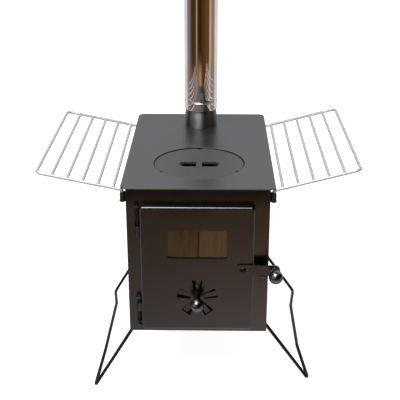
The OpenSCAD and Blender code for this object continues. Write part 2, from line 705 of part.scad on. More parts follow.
module latch_washer() color("#6f6c69") placed() translate([pivot_x, 0, latch_z])
  sheet_y(strap_y, washer_t) difference() { circle(6.5); circle(rivet_d/2 + run_c); }
module latch_stud() color("#8a8784") placed() translate([knob_x, 0, latch_z]) {
  bar_y(0, lknob_y - 2, strap_y - step_out + 1, 0, stud_r);
  // a flat peened head that clears the door's face when the strap swings over it
  sheet_y(strap_y - step_out, washer_t + step_out - 0.4) circle(stud_r + 2);
}
module latch_knob_washer() color("#b5b0ac") placed() translate([knob_x, 0, latch_z])
  sheet_y(strap_f - step_out - 1, 1) difference() { circle(6.2); circle(stud_r + fix_c); }
module latch_knob() color("#0e0e0f") placed()
  ball_knob(knob_x, lknob_y, latch_z, strap_f - step_out - 1, stud_r);
module latch_keeper() color("#2a2624") placed() translate([keeper_x - keeper_w/2, 0, lip_z]) {
  translate([0, front_y - keeper_t, -lip_h - keeper_t - 17]) cube([keeper_w, keeper_t, 17 + e]);
  translate([0, keeper_f, -lip_h - keeper_t]) cube([keeper_w, front_y - keeper_f, keeper_t]);
  translate([0, keeper_f, -lip_h - keeper_t]) cube([keeper_w, keeper_t, lip_h + keeper_t]);
}

// ---- racks
// one socket, its slot towards +X
module socket() difference() {
  union() {
    rotate_extrude() polygon(concat([[0, 0], [socket_d/2 - 1.6, 0], [socket_d/2 - 0.5, 1]],
      [for (i = [0:5], k = [0, 1]) [socket_d/2 - 0.5*k, 1.6 + (i + k*0.6)*(socket_h - 2.4)/6]],
      [[socket_d/2 - 0.3, socket_h], [0, socket_h]]));
    translate([-socket_d/2, -2.5, 1.6]) cube([socket_d/2, 5, socket_h - 2.2]);
  }
  translate([0, 0, socket_floor - socket_low])
    cylinder(r = wire_r + socket_clear, h = socket_h);
  translate([0, -wire_r - socket_clear, socket_floor - socket_low])
    cube([socket_d, 2*(wire_r + socket_clear), socket_h]);
}
module sockets() for (y = [rack_front, rack_front + rack_len])
  translate([socket_x, y, socket_low]) socket();
module rack_sockets_right() color("#171717") placed() sockets();
module rack_sockets_left() color("#171717") placed() mirror([1, 0, 0]) sockets();
// one rack on the right-hand side, its arms tilted up by a
module rack(a) {
  l = (rack_reach - socket_x)/cos(a);
  t = tail_bend*tan(45 - a/2);
  for (y = [rack_front, rack_front + rack_len]) translate([0, y, 0]) rotate([90, 0, 0]) {
    p = [[socket_x, socket_floor], [socket_x, arm_z], [socket_x + l*cos(a), arm_z + l*sin(a)]];
    rod_straight(p, [0, tail_bend, 0], 0, wire_r);
    rod_elbow(p, [0, tail_bend, 0], 1, wire_r);
  }
  translate([socket_x, rack_front, arm_z]) rotate([0, -a, 0]) {
    bent_rod([[t - 0.4, 0], [l, 0], [l, rack_len], [t - 0.4, rack_len]],
      [0, rack_bend, rack_bend, 0], wire_r);
    for (i = [0:bar_count - 1])
      translate([(first_bar + i*(rack_reach - socket_x - first_bar)/bar_count)/cos(a), rack_len, 0])
        rotate([90, 0, 0]) cylinder(r = bar_d/2, h = rack_len);
  }
}
module rack_right() color("#c9c7c6") placed() rack(tilt_right);
module rack_left() color("#c9c7c6") placed() mirror([1, 0, 0]) rack(tilt_left);

// ---- legs
// distance from the pivot to the feet along a strand spread by a
function foot_s(a) = stand_h/cos(a);
// how far a foot's sharp corner lies beyond its rounded one, where the bar rises by d over k
function corner_s(d, k) = rod_bend*(tan(45 + atan(d/k)/2) - 1);
module leg(y, n, s, ra, rb, ka, kb) translate([0, y, 0])
  bent_rod([[0, stub], [0, 0], [s + corner_s(ra, ka), 0], [s - ra, ka], [s - rb, ka + kb],
    [s + corner_s(rb, n - ka - kb), n], [0, n], [0, n - stub]],
    [0, rod_bend, rod_bend, 2*rod_bend, 2*rod_bend, rod_bend, rod_bend, 0], rod_r);
module leg_left() color("#1d1d1e") placed() translate([-pivot_xx, 0, pivot_z])
  rotate([0, 90 + spread_left, 0])
    leg(l_y, left_len, foot_s(spread_left), rise_a_left, rise_b_left, kink_a_left, kink_b_left);
module leg_right() color("#1d1d1e") placed() translate([pivot_xx, 0, pivot_z])
  rotate([0, 90 - spread_right, 0])
    leg(r_y, right_len, foot_s(spread_right), rise_a_right, rise_b_right, kink_a_right,
      kink_b_right);
module tab(y) difference() {
  translate([wall_in - 0.1 - tab_w, y, wall_low - 1.2]) cube([tab_w, tab_t, skirt_h + 1.2]);
  bar_y(pivot_xx, y - e, y + tab_t + e, pivot_z, rod_r + run_c);
}
module tabs(y, n) { tab(y + tab_in); tab(y + n - tab_in - tab_t); }
module leg_tabs_left() color("#2c2826") placed() mirror([1, 0, 0]) tabs(l_y, left_len);
module leg_tabs_right() color("#2c2826") placed() tabs(r_y, right_len);

top_plate();
body_wrapper();
front_panel();
floor_sheet();
lid_seat_ring();
cooking_lid();
lid_lifter_cup();
flue_collar();
flue_pipe();
fire_grate();
door_pan();
window_glass();
glass_tape();
glass_retainer();
retainer_studs();
retainer_nuts();
gasket_channel();
gasket_rope();
hinge_bracket_upper();
hinge_bracket_lower();
hinge_pins();
door_knuckles();
air_disc();
air_spindle();
air_washer();
air_spring();
air_nut();
air_knob();
latch_strap();
latch_rivet();
latch_washer();
latch_stud();
latch_knob_washer();
latch_knob();
latch_keeper();
rack_sockets_left();
rack_sockets_right();
rack_left();
rack_right();
leg_left();
leg_right();
leg_tabs_left();
leg_tabs_right();
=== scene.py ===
import json
from math import cos, pi, radians, sin

import bmesh
import bpy
from mathutils import Matrix, Vector


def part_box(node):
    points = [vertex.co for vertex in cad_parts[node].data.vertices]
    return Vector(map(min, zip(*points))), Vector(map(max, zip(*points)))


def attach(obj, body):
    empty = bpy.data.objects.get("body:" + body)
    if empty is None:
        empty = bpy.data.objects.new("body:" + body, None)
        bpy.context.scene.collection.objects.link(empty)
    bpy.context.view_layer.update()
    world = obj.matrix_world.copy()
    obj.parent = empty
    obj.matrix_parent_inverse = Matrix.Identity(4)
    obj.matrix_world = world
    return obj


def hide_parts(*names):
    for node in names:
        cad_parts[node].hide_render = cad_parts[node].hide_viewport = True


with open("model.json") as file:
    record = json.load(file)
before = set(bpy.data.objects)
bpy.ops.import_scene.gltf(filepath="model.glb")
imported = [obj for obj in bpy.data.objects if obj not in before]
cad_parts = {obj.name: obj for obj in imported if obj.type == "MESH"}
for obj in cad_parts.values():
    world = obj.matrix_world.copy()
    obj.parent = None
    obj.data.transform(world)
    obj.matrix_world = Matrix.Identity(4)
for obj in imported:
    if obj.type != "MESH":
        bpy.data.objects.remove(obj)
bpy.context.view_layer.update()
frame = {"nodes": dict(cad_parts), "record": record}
scene = bpy.context.scene
scene.view_settings.view_transform = "Standard"
body_of = {n: b for b, ns in frame["record"]["behaviour"]["bodies"].items() for n in ns}
slot_of = {s["node"]: s["material_slot"] for s in frame["record"]["subparts"]}

# ---------------------------------------------------------------- places, in metres
MM = 0.001
plate_lo, plate_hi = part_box("top_plate")
pipe_lo, pipe_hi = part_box("flue_pipe")
PLATE_FRONT = plate_lo.y
PLATE_TOP = plate_hi.z
FLUE = Vector(((pipe_lo.x + pipe_hi.x) / 2, (pipe_lo.y + pipe_hi.y) / 2, PLATE_TOP))
UP = (0, 0, 1)


def spot(x, y, z):
    """A place measured in millimetres from the middle of the top plate's front edge."""
    return Vector((x * MM, PLATE_FRONT + y * MM, PLATE_TOP + z * MM))


# ---------------------------------------------------------------- colour and node helpers
def linear(code):
    """An sRGB hex colour as linear RGBA."""
    v = [int(code[i:i + 2], 16) / 255 for i in (1, 3, 5)]
    return (*[c / 12.92 if c <= 0.04045 else ((c + 0.055) / 1.055) ** 2.4 for c in v], 1.0)


def every(millimetres):
    """The texture scale that repeats about every so many millimetres."""
    return 1000 / millimetres


def plug(tree, node, links):
    """Sets a node's inputs from numbers, hex colours, sockets or other nodes."""
    for k, v in links.items():
        if isinstance(v, bpy.types.Node):
            v = next(o for o in v.outputs if o.enabled)
        if isinstance(v, bpy.types.NodeSocket):
            tree.links.new(v, node.inputs[k])
        else:
            node.inputs[k].default_value = linear(v) if isinstance(v, str) else v


def add(tree, kind, settings=None, links=None, stops=None):
    """One shader node with its settings, its inputs and, on a colour ramp, its stops."""
    n = tree.nodes.new("ShaderNode" + kind)
    for k, v in (settings or {}).items():
        setattr(n, k, v)
    plug(tree, n, links or {})
    if stops:
        e = n.color_ramp.elements
        while len(e) < len(stops):
            e.new(0.5)
        for k, (at, c) in zip(e, stops):
            k.position, k.color = at, (linear(c) if isinstance(c, str) else (c, c, c, 1))
    return n


MIX = {"data_type": "RGBA"}
MULTIPLY = {"data_type": "RGBA", "blend_type": "MULTIPLY"}
TIMES = {"operation": "MULTIPLY"}
TIMES_PLUS = {"operation": "MULTIPLY_ADD"}
NEAR_TO = {"operation": "COMPARE"}
WHITE = (1, 1, 1, 1)


def start(name):
    """A new material: itself, its tree, its shader and the Object coordinates."""
    m = bpy.data.materials.new(name)
    m.use_nodes = True
    t = m.node_tree
    return m, t, t.nodes["Principled BSDF"], add(t, "TexCoord").outputs["Object"]


# ---------------------------------------------------------------- paints
RUBBED = "#6b6763"      # dust and bare metal showing where paint is rubbed thin
SAG = 0.06 * MM         # long waves that sprayed paint leaves on sheet
GLOSS_SWING = 0.03      # how far the gloss changes from patch to patch


def paint(name, dark, light, gloss, peel, worn, ior=1.5, level=0.5):
    """Sprayed heat-proof silicone paint: fine orange peel, faint cloudy patches, dull rubbed
    spots. peel is the orange peel's depth in millimetres, worn the share of rubbed colour."""
    m, t, p, at = start(name)
    cloud = add(t, "TexNoise", links={"Vector": at, "Scale": every(45), "Detail": 4})
    fine = add(t, "TexNoise", links={"Vector": at, "Scale": every(2.2)})
    speck = add(t, "TexNoise", links={
        "Vector": at, "Scale": every(7), "Detail": 5, "Roughness": 0.7})
    wave = add(t, "TexNoise", links={"Vector": at, "Scale": every(70), "Detail": 1})
    tone = add(t, "ValToRGB", links={"Fac": cloud}, stops=[(0.3, dark), (0.7, light)])
    rub = add(t, "ValToRGB", links={"Fac": speck}, stops=[(0.55, 0.0), (0.72, worn)])
    shine = add(t, "ValToRGB", links={"Fac": cloud}, stops=[
        (0.25, gloss - GLOSS_SWING), (0.75, gloss + GLOSS_SWING)])
    sag = add(t, "Bump", links={"Height": wave, "Distance": SAG})
    skin = add(t, "Bump", links={"Height": fine, "Distance": peel * MM, "Normal": sag})
    plug(t, p, {"Base Color": add(t, "Mix", MIX, {0: rub, 6: tone, 7: RUBBED}),
                "Roughness": shine, "Normal": skin, "IOR": ior, "Specular IOR Level": level})
    return m


# top plate: satin black stove paint, seen grey because it mirrors the pale backdrop
plate_paint = paint("satin_stove_paint", "#242426", "#2c2c2e", 0.33, 0.010, 0.05, 1.6)
# lid: the same paint, burnt warmer and duller over the fire
lid_paint = paint("burnt_stove_paint", "#393939", "#434342", 0.50, 0.012, 0.08)
# body and door: semi-gloss black stove paint, seen brown because it mirrors brown ground
body_paint = paint("semigloss_stove_paint", "#060504", "#090706", 0.19, 0.008, 0.008, 1.9)
# wire legs and hinge pins: satin black paint, dull and dark against the white
leg_paint = paint("satin_black_paint", "#0c0c0d", "#131314", 0.45, 0.008, 0.02, 1.45, 0.35)
# rivet head: gloss black paint, thick over the dome
rivet_paint = paint("gloss_black_paint", "#020202", "#040404", 0.26, 0.01, 0.0, 1.3)
# inside sheets: the same paint gone matt under a film of soot; its shine is also kept this low so
# that the lid's seat ring stays black in the notches, as painted shade
soot_and_shade_paint = paint("sooty_matt_paint_and_painted_shade", "#080706", "#0f0d0c", 0.78, 0.02, 0.03, 1.5, 0.12)


def front_paint_painted_shade():
    """The body's paint on the front sheet, with its shine cut so that it is almost black just
    under the plate: painted shade from the plate's overhang.
    """
    shiny_below, shaded_above = PLATE_TOP - 36 * MM, PLATE_TOP - 12 * MM
    m = paint("semigloss_paint_painted_shade", "#060504", "#090706", 0.19, 0.008, 0.008, 2.0)
    t, p = m.node_tree, m.node_tree.nodes["Principled BSDF"]
    height = add(t, "SeparateXYZ", links={0: add(t, "TexCoord").outputs["Object"]}).outputs[2]
    # painted shade: the shine falls from 0.5 to 0.2 between 36 mm and 12 mm under the plate
    plug(t, p, {"Specular IOR Level": add(t, "MapRange", links={
        "Value": height, 1: shiny_below, 2: shaded_above, 3: 0.5, 4: 0.2})})
    return m


def lifter_paint_painted_shade():
    """The cup's flange painted darker than the lid, as painted shade for the gap round it, and
    painted shade as black as a hole, with no shine, down inside the cup.
    """
    shade_below, lit_above = PLATE_TOP - 5.2 * MM, PLATE_TOP - 4.6 * MM
    m, t, p, at = start("cup_paint_painted_shade")
    cloud = add(t, "TexNoise", links={"Vector": at, "Scale": every(6), "Detail": 4})
    # the flange's colour, darker than the lid's paint: painted shade for the gap round the lid
    tone = add(t, "ValToRGB", links={"Fac": cloud}, stops=[(0.3, "#1c1c1b"), (0.7, "#2a2a29")])
    height = add(t, "SeparateXYZ", links={0: at}).outputs[2]
    lit_share = add(t, "MapRange", links={"Value": height, 1: shade_below, 2: lit_above})
    plug(t, p, {
        # painted shade: near black below the flange, and the shine goes with it
        "Base Color": add(t, "Mix", MIX, {0: lit_share, 6: "#030303", 7: tone}),
        "Specular IOR Level": add(t, "Math", TIMES, {0: lit_share, 1: 0.5}),
        "Roughness": add(t, "ValToRGB", links={"Fac": cloud}, stops=[(0.3, 0.5), (0.7, 0.6)])})
    return m


# ---------------------------------------------------------------- metals
def turned_collar():
    """Blued steel turned on a lathe: fine rings that draw reflections out into upright streaks."""
    m, t, p, at = start("turned_blued_steel")
    film = add(t, "TexNoise", links={"Vector": at, "Scale": every(14), "Detail": 4})
    tone = add(t, "ValToRGB", links={"Fac": film}, stops=[(0.3, "#767674"), (0.7, "#80807d")])
    plug(t, p, {
        "Metallic": 1.0, "Anisotropic": 1.0, "Base Color": tone,
        "Tangent": add(t, "CombineXYZ", links={"Z": 1.0}),
        "Roughness": add(t, "ValToRGB", links={"Fac": film}, stops=[(0.3, 0.31), (0.7, 0.36)])})
    return m


def mirror_steel():
    """Mirror-polished stainless tube: long faint polishing lines, soft dents in the thin wall."""
    m, t, p, at = start("mirror_polished_stainless")
    along = add(t, "Mapping", links={0: at, "Scale": (1, 1, 0.02)})
    lines = add(t, "TexNoise", links={
        "Vector": along, "Scale": every(1.4), "Detail": 3, "Roughness": 0.6})
    long = add(t, "Mapping", links={0: at, "Scale": (1, 1, 0.25)})
    dents = add(t, "TexNoise", links={"Vector": long, "Scale": every(40), "Detail": 1})
    film = add(t, "TexNoise", links={"Vector": at, "Scale": every(60), "Detail": 3})
    tone = add(t, "ValToRGB", links={"Fac": film}, stops=[(0.3, "#ded6cf"), (0.7, "#e6e2df")])
    soft = add(t, "Bump", links={"Height": dents, "Distance": 0.06 * MM})
    plug(t, p, {
        "Metallic": 1.0, "Base Color": tone,
        "Roughness": add(t, "ValToRGB", links={"Fac": lines}, stops=[(0.3, 0.035), (0.75, 0.085)]),
        "Normal": add(t, "Bump", links={
            "Height": lines, "Distance": 0.0008 * MM, "Normal": soft})})
    return m


def plated_wire():
    """Nickel-plated wire gone hazy: pale and satin, slightly cloudy plating, no mirror left."""
    m, t, p, at = start("nickel_plated_wire")
    cloud = add(t, "TexNoise", links={"Vector": at, "Scale": every(6), "Detail": 4})
    pits = add(t, "TexNoise", links={"Vector": at, "Scale": every(0.8)})
    tone = add(t, "ValToRGB", links={"Fac": cloud}, stops=[(0.35, "#c6c5c9"), (0.7, "#d2d1d5")])
    plug(t, p, {
        "Metallic": 0.55, "Base Color": tone,
        "Roughness": add(t, "ValToRGB", links={"Fac": cloud}, stops=[(0.3, 0.42), (0.7, 0.52)]),
        "Normal": add(t, "Bump", links={"Height": pits, "Distance": 0.004 * MM})})
    return m


def plain_steel():
    """Turned bright steel fasteners: a soft grey shine under an oily film."""
    m, t, p, at = start("turned_steel")
    film = add(t, "TexNoise", links={"Vector": at, "Scale": every(3), "Detail": 4})
    pits = add(t, "TexNoise", links={"Vector": at, "Scale": every(0.5)})
    tone = add(t, "ValToRGB", links={"Fac": film}, stops=[(0.0, "#8f8b88"), (1.0, "#bdb9b6")])
    plug(t, p, {
        "Metallic": 1.0, "Base Color": tone,
        "Roughness": add(t, "ValToRGB", links={"Fac": film}, stops=[(0.3, 0.28), (0.7, 0.45)]),
        "Normal": add(t, "Bump", links={"Height": pits, "Distance": 0.01 * MM})})
    return m


def socket_black():
    """Black oxide on a turned socket: near-black satin, slightly dusty."""
    m, t, p, at = start("black_oxide")
    dust = add(t, "TexNoise", links={"Vector": at, "Scale": every(2), "Detail": 4})
    tone = add(t, "ValToRGB", links={"Fac": dust}, stops=[(0.45, "#090909"), (0.8, "#161514")])
    plug(t, p, {
        "Base Color": tone,
        "Roughness": add(t, "ValToRGB", links={"Fac": dust}, stops=[(0.3, 0.34), (0.7, 0.5)]),
        "Normal": add(t, "Bump", links={"Height": dust, "Distance": 0.02 * MM})})
    return m


def scaled_iron():
    """Bare hot-rolled steel after fires: brown-grey scale, darker in its hollows and paler on its
    crests.
    """
    m, t, p, at = start("scaled_iron")
    scale = add(t, "TexNoise", links={
        "Vector": at, "Scale": every(9), "Detail": 6, "Roughness": 0.65})
    grit = add(t, "TexNoise", links={"Vector": at, "Scale": every(1.5), "Detail": 3})
    tone = add(t, "ValToRGB", links={"Fac": scale},
               stops=[(0.3, "#1b1512"), (0.55, "#33271f"), (0.75, "#5b5148")])
    crust = add(t, "Bump", links={"Height": scale, "Distance": 0.15 * MM})
    plug(t, p, {
        "Metallic": 0.3, "Base Color": tone,
        "Roughness": add(t, "ValToRGB", links={"Fac": scale}, stops=[(0.3, 0.55), (0.7, 0.85)]),
        "Normal": add(t, "Bump", links={
            "Height": grit, "Distance": 0.05 * MM, "Normal": crust})})
    return m


# ---------------------------------------------------------------- plastic, fibre and glass
def ball_plastic():
    """Moulded phenolic ball: deep wet-looking gloss, a hair of handling haze."""
    m, t, p, at = start("black_phenolic")
    haze = add(t, "TexNoise", links={"Vector": at, "Scale": every(5), "Detail": 4})
    swell = add(t, "TexNoise", links={"Vector": at, "Scale": every(9), "Detail": 1})
    tone = add(t, "ValToRGB", links={"Fac": haze}, stops=[(0.0, "#020202"), (1.0, "#040404")])
    plug(t, p, {
        "IOR": 2.15, "Base Color": tone,
        "Roughness": add(t, "ValToRGB", links={"Fac": haze}, stops=[(0.35, 0.03), (0.75, 0.07)]),
        "Normal": add(t, "Bump", links={"Height": swell, "Distance": 0.02 * MM})})
    return m


def woven_fibre(name, hollow, crown, pitch):
    """Glass fibre yarn crossing at a slant, hollow between the strands; pitch in millimetres."""
    m, t, p, at = start(name)
    back = add(t, "Mapping", links={0: at, "Scale": (1, 1, -1)})
    one, two = [add(t, "TexWave", {"bands_direction": "DIAGONAL"}, {
        "Vector": v, "Scale": every(pitch) / 2, "Distortion": 0.6}).outputs["Fac"]
        for v in (at, back)]
    strands = add(t, "Math", TIMES, {0: one, 1: two})
    dust = add(t, "TexNoise", links={"Vector": at, "Scale": every(8), "Detail": 3})
    tone = add(t, "ValToRGB", links={"Fac": strands}, stops=[(0.0, hollow), (0.6, crown)])
    plug(t, p, {
        "Base Color": tone,
        "Roughness": add(t, "ValToRGB", links={"Fac": dust}, stops=[(0.3, 0.8), (0.7, 0.95)]),
        "Normal": add(t, "Bump", links={"Height": strands, "Distance": 0.3 * MM})})
    return m


def stove_glass():
    """Clear glass ceramic with a heat-mirror coat: smoke-brown tint, clear reflections, smears."""
    m, t, p, at = start("coated_stove_glass")
    tall = add(t, "Mapping", links={0: at, "Scale": (1, 1, 0.4)})
    smear = add(t, "TexNoise", links={
        "Vector": tall, "Scale": every(18), "Detail": 4, "Roughness": 0.6})
    bend = add(t, "TexNoise", links={"Vector": at, "Scale": every(60), "Detail": 1})
    tone = add(t, "ValToRGB", links={"Fac": smear}, stops=[(0.3, "#18110b"), (0.7, "#20170f")])
    plug(t, p, {
        "Transmission Weight": 0.45, "IOR": 2.3, "Base Color": tone,
        "Roughness": add(t, "ValToRGB", links={"Fac": smear}, stops=[(0.35, 0.01), (0.75, 0.035)]),
        "Normal": add(t, "Bump", links={"Height": bend, "Distance": 0.02 * MM})})
    return m


# ---------------------------------------------------------------- which node wears what
FINISH = {"plate_enamel": plate_paint, "body_enamel": body_paint, "inner_steel": soot_and_shade_paint,
          "pipe_steel": mirror_steel(), "rack_steel": plated_wire(),
          "fastener_steel": plain_steel(), "leg_enamel": leg_paint,
          "socket_black": socket_black(), "knob_black": ball_plastic(),
          "grate_iron": scaled_iron(), "stove_glass": stove_glass(),
          "rope_fibre": woven_fibre("glass_fibre_braid", "#7d766b", "#c9c2b4", 1.5),
          "tape_fibre": woven_fibre("black_fibre_tape", "#050505", "#121211", 1.2)}
# pieces whose finish differs from the rest of their slot
OWN = {"cooking_lid": lid_paint, "flue_collar": turned_collar(), "hinge_pins": leg_paint,
       "latch_rivet": rivet_paint, "lid_lifter_cup": lifter_paint_painted_shade(),
       # the seat ring shows in the lid's notches: soot paint, kept black there as painted shade
       "lid_seat_ring": soot_and_shade_paint, "air_spindle": leg_paint, "latch_stud": leg_paint,
       "front_panel": front_paint_painted_shade()}


def finish(node):
    """The material of a CAD node: its own, or else its slot's."""
    return OWN.get(node) or FINISH[slot_of[node]]


for name, node in frame["nodes"].items():
    node.data.materials.clear()
    node.data.materials.append(finish(name))

# ---------------------------------------------------------------- shape helpers
SHEET_SHARP, LATHE_SHARP, BEVEL_FROM, COPLANAR = 35, 40, 38, 0.6    # degrees
SAME_SHEET_POINT, SAME_LATHE_POINT = 2e-6, 1e-6                     # metres
PIPE_STEPS, BALL_STEPS, ARC_STEPS = 128, 64, 48
WIDE_EDGE = 0.45        # broken edges wider than this get three segments, others two


def piece(name, bm, node, sharp):
    """A finished mesh piece that stands in the place of one CAD node and rides on its body."""
    me = bpy.data.meshes.new(name)
    bm.to_mesh(me)
    bm.free()
    o = bpy.data.objects.new(name, me)
    scene.collection.objects.link(o)
    me.materials.append(finish(node))
    me.shade_smooth()
    me.set_sharp_from_angle(angle=radians(sharp))
    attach(o, body_of[node])
    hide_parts(node)
    return o


def dressed(node, name, edge):
    """The node's own shape, shaded smooth, with its sharp edges broken by edge millimetres."""
    bm = bmesh.new()
    bm.from_mesh(frame["nodes"][node].data)
    bmesh.ops.remove_doubles(bm, verts=bm.verts, dist=SAME_SHEET_POINT)
    bmesh.ops.dissolve_limit(bm, angle_limit=radians(COPLANAR), verts=bm.verts, edges=bm.edges)
    o = piece(name, bm, node, SHEET_SHARP)
    if edge:
        b = o.modifiers.new("broken_edge", "BEVEL")
        b.width, b.segments = edge * MM, 3 if edge > WIDE_EDGE else 2
        b.limit_method, b.angle_limit = "ANGLE", radians(BEVEL_FROM)
        b.use_clamp_overlap = True
    # broad faces keep their own normal, so that flat sheet mirrors flat
    w = o.modifiers.new("flat_faces", "WEIGHTED_NORMAL")
    w.mode, w.weight, w.keep_sharp = "FACE_AREA", 90, True


def lathe(name, node, profile, at, axis=UP, steps=PIPE_STEPS):
    """A closed (radius, height) profile in millimetres spun round an axis through at."""
    bm = bmesh.new()
    vs = [bm.verts.new((r * MM, 0, h * MM)) for r, h in profile]
    es = [bm.edges.new((vs[i - 1], vs[i])) for i in range(len(vs))]
    bmesh.ops.spin(bm, geom=vs + es, cent=(0, 0, 0), axis=UP, angle=2 * pi, steps=steps,
                   use_merge=True)
    bmesh.ops.remove_doubles(bm, verts=bm.verts, dist=SAME_LATHE_POINT)
    bmesh.ops.recalc_face_normals(bm, faces=bm.faces)
    turn = Vector(UP).rotation_difference(Vector(axis)).to_matrix().to_4x4()
    bm.transform(Matrix.Translation(at) @ turn)
    piece(name, bm, node, LATHE_SHARP)


# ---------------------------------------------------------------- sheet metal, wire, fasteners
for node, name, edge in [
        ("top_plate", "plate_sheet", 0.7), ("cooking_lid", "lid_sheet", 0.4),
        ("body_wrapper", "firebox_wrap", 0.5), ("front_panel", "firebox_front", 0.5),
        ("door_pan", "door_skin", 0), ("hinge_bracket_upper", "hinge_leaf_upper", 0.15),
        ("hinge_bracket_lower", "hinge_leaf_lower", 0.15),
        ("door_knuckles", "door_knuckle_pair", 0.3),
        ("latch_keeper", "keeper_hook", 0.3), ("latch_strap", "latch_bar", 0),
        ("latch_rivet", "latch_rivet_head", 0.3), ("air_disc", "air_star", 0.2),
        ("lid_lifter_cup", "lifter_cup", 0.25), ("leg_left", "leg_wire_left", 0),
        ("leg_right", "leg_wire_right", 0), ("rack_left", "rack_wire_left", 0),
        ("rack_right", "rack_wire_right", 0), ("hinge_pins", "hinge_pin_pair", 0.3),
        ("rack_sockets_left", "socket_pair_left", 0.4),
        ("rack_sockets_right", "socket_pair_right", 0.4)]:
    dressed(node, name, edge)

# ---------------------------------------------------------------- pipe and collar
# millimetres; heights are above the top plate
PIPE_R, PIPE_WALL, PIPE_LOW, PIPE_TOP, PIPE_LIP = 30.6, 0.8, 33, 333, 0.3
NECK_R, NECK_TALL, CONE_FOOT = 28.4, 16, 28             # the last two below the pipe's top
BEAD_UP, BEAD_FROM, BEAD_TO = 16.7, 13, 21              # above the pipe's lower end
BEAD_DEEP, BEAD_HALF, BEAD_DEEP_IN, BEAD_HALF_IN = 1.8, 2.0, 1.9, 2.4
CREASE = 0.4            # a narrow ring beside a fold, so that its shading stays crisp


def groove(radius, deep, half, way):
    """The rolled bead's hollow on one face of the pipe, as (radius, height) points."""
    steps = [k / 10 for k in range(-10, 11)]
    return [(radius - deep * (1 + cos(pi * k)) / 2, PIPE_LOW + BEAD_UP + k * half)
            for k in steps[::way]]


inner, neck_inner = PIPE_R - PIPE_WALL, NECK_R - PIPE_WALL
tube = ([(inner, PIPE_LOW), (inner, PIPE_LOW + BEAD_FROM)]
        + groove(inner, BEAD_DEEP_IN, BEAD_HALF_IN, 1)
        + [(inner, PIPE_LOW + BEAD_TO), (inner, PIPE_TOP - CONE_FOOT - CREASE),
           (inner, PIPE_TOP - CONE_FOOT), (neck_inner, PIPE_TOP - NECK_TALL),
           (neck_inner, PIPE_TOP), (NECK_R, PIPE_TOP),
           (NECK_R, PIPE_TOP - NECK_TALL + CREASE), (NECK_R, PIPE_TOP - NECK_TALL),
           (PIPE_R, PIPE_TOP - CONE_FOOT), (PIPE_R, PIPE_TOP - CONE_FOOT - CREASE),
           (PIPE_R, PIPE_LOW + BEAD_TO)]
        + groove(PIPE_R, BEAD_DEEP, BEAD_HALF, -1)
        + [(PIPE_R, PIPE_LOW + BEAD_FROM), (PIPE_R, PIPE_LOW + PIPE_LIP), (PIPE_R, PIPE_LOW)])
lathe("pipe_tube", "flue_pipe", tube, FLUE)
# the collar from its foot on the plate up the taper to the spigot, and down the bore
lathe("collar_tube", "flue_collar", [
    (30.2, 0), (30.2, 0.4), (30.2, 20.1), (30.05, 20.8), (29.8, 21.6), (28.55, 32.2), (28.4, 33),
    (28.4, 33.5), (28.4, 47), (27.2, 47), (27.2, 33), (27.8, 20.6), (27.8, -6), (29, -6),
    (29, 0)], FLUE)

# ---------------------------------------------------------------- ball knobs
BALL_R, STEM_R, STEM_EASE, BORE_R, BORE_FLOOR = 11.2, 5.0, 0.4, 3.02, -2
for node, name in [("air_knob", "air_ball"), ("latch_knob", "latch_ball")]:
    lo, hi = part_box(node)
    middle = Vector(((lo.x + hi.x) / 2, lo.y + BALL_R * MM, (lo.z + hi.z) / 2))
    back = (hi.y - middle.y) / MM
    foot = (BALL_R ** 2 - STEM_R ** 2) ** 0.5
    arc = [pi * k / ARC_STEPS for k in range(ARC_STEPS)]
    ball = [(BALL_R * sin(a), -BALL_R * cos(a)) for a in arc if -BALL_R * cos(a) < foot]
    ball += [(STEM_R, foot), (STEM_R, back - STEM_EASE), (STEM_R - STEM_EASE, back),
             (BORE_R, back), (BORE_R, BORE_FLOOR), (0, BORE_FLOOR)]
    lathe(name, node, ball, middle, axis=(0, 1, 0), steps=BALL_STEPS)

# ---------------------------------------------------------------- camera
SENSOR, LENS, CLIP = 36, 78.278, (0.05, 30)     # millimetres, millimetres, metres
CAMERA_AT = spot(22.896, -1252.359, 510.306)
DOWN, ASIDE = radians(22.8926), radians(-0.8956)
camera = bpy.data.objects.new("camera", bpy.data.cameras.new("camera"))
scene.collection.objects.link(camera)
scene.camera = camera
camera.data.sensor_width, camera.data.lens = SENSOR, LENS
camera.data.clip_start, camera.data.clip_end = CLIP
camera.location = CAMERA_AT
look = Vector((sin(ASIDE) * cos(DOWN), cos(ASIDE) * cos(DOWN), -sin(DOWN)))
camera.rotation_euler = look.to_track_quat("-Z", "Y").to_euler()


# ---------------------------------------------------------------- surroundings
def round_to(stops):
    """Ramp stops given by degrees to the right of the camera's side."""
    return [(0.5 + a / 360, c) for a, c in stops]


def up_to(stops):
    """Ramp stops given by degrees above eye level."""
    return [(0.5 + 0.5 * sin(radians(a)), c) for a, c in stops]


